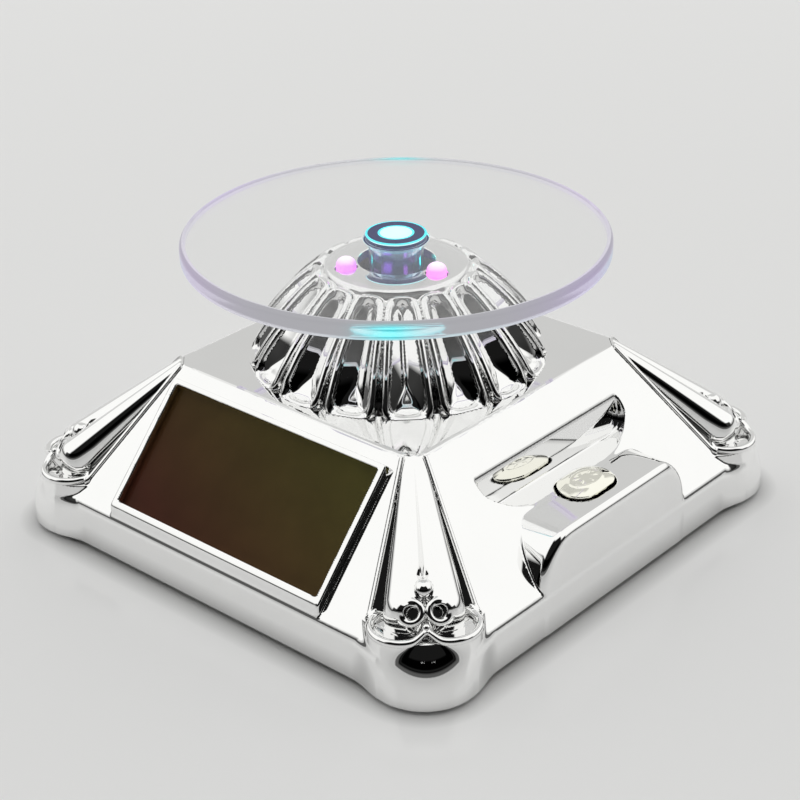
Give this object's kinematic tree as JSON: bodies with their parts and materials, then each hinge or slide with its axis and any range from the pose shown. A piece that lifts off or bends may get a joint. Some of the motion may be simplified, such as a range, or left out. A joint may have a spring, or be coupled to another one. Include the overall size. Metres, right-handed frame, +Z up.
{
  "type": "turntable display stand",
  "caption": "Battery and solar driven display turntable: a chrome pyramid base with ornate corner feet, a fluted dome with lights, a push button and a clear round platter.",
  "frame": {"origin": "centre of the footprint, on the surface the stand rests on", "axes": "+Z up through the platter's axis, -Y towards the solar cell's slope, +X towards the button's slope"},
  "size_m": [0.107, 0.107, 0.057],
  "materials": {
    "chrome_plating": "polished",
    "solar_glass": "gloss",
    "led_lens": "gloss",
    "circuit_board": "satin",
    "clear_acrylic": "polished",
    "spindle_steel": "satin",
    "screw_steel": "satin",
    "spring_steel": "satin",
    "motor_steel": "satin",
    "gear_nylon": "satin",
    "black_plastic": "satin",
    "silver_plastic": "satin",
    "bush_brass": "satin",
    "contact_brass": "satin",
    "foot_rubber": "matte",
    "battery_jacket": "gloss",
    "red_wire": "satin",
    "black_wire": "satin",
    "blue_wire": "satin"
  },
  "bodies": {
    "base": {"housing": "chrome_plating", "dome": "chrome_plating", "dome_screws": "screw_steel", "solar_cell": "solar_glass", "leds": "led_lens", "led_board": "circuit_board", "led_board_screws": "screw_steel", "spindle_bush": "bush_brass", "thrust_washer": "gear_nylon", "gearbox_top": "black_plastic", "gearbox_base": "black_plastic", "gearbox_screws": "screw_steel", "gear_axles": "spindle_steel", "motor": "motor_steel", "motor_screws": "screw_steel", "switch_spring": "spring_steel", "switch_body": "black_plastic", "control_board": "circuit_board", "board_screws": "screw_steel", "bottom_cover": "silver_plastic", "cover_screws": "screw_steel", "rubber_feet": "foot_rubber", "battery": "battery_jacket", "positive_contact": "contact_brass", "negative_contact": "contact_brass", "motor_wires": "red_wire", "cell_wires": "red_wire", "battery_wires": "black_wire", "led_wires": "blue_wire"},
    "spindle": {"spindle": "spindle_steel", "output_gear": "gear_nylon"},
    "platter": {"platter": "clear_acrylic"},
    "second_gear": {"second_gear": "gear_nylon"},
    "first_gear": {"first_gear": "gear_nylon"},
    "rotor": {"motor_shaft": "spindle_steel", "motor_pinion": "bush_brass"},
    "button": {"button_cap": "chrome_plating", "switch_plunger": "gear_nylon"},
    "battery_door": {"battery_door": "silver_plastic"}
  },
  "joints": [
    {"name": "platter_spin", "type": "hinge", "parent": "base", "child": "spindle", "pos_m": [0, 0, 0.035], "axis": [0, 0, 1], "continuous": true},
    {"name": "platter_lift", "type": "slide", "parent": "spindle", "child": "platter", "axis": [0, 0, 1], "range_m": [0, 0.012]},
    {"name": "second_gear_spin", "type": "hinge", "parent": "base", "child": "second_gear", "pos_m": [0, 0.015, 0.024], "axis": [0, 0, 1], "continuous": true},
    {"name": "first_gear_spin", "type": "hinge", "parent": "base", "child": "first_gear", "pos_m": [-0.01299, 0.0075, 0.022], "axis": [0, 0, 1], "continuous": true},
    {"name": "motor_spin", "type": "hinge", "parent": "base", "child": "rotor", "pos_m": [-0.01299, -0.0075, 0.018], "axis": [0, 0, 1], "continuous": true},
    {"name": "button_press", "type": "slide", "parent": "base", "child": "button", "axis": [0, 0, -1], "range_m": [0, 0.0015], "stiffness_N_per_m": 400, "springref_m": -0.002, "deforming": ["switch_spring"]},
    {"name": "battery_door_slide", "type": "slide", "parent": "base", "child": "battery_door", "axis": [0, 1, 0], "range_m": [0, 0.005]}
  ],
  "couplings": [
    {"joint": "second_gear_spin", "follows": "platter_spin", "ratio": -4},
    {"joint": "first_gear_spin", "follows": "platter_spin", "ratio": 16},
    {"joint": "motor_spin", "follows": "platter_spin", "ratio": -64}
  ]
}
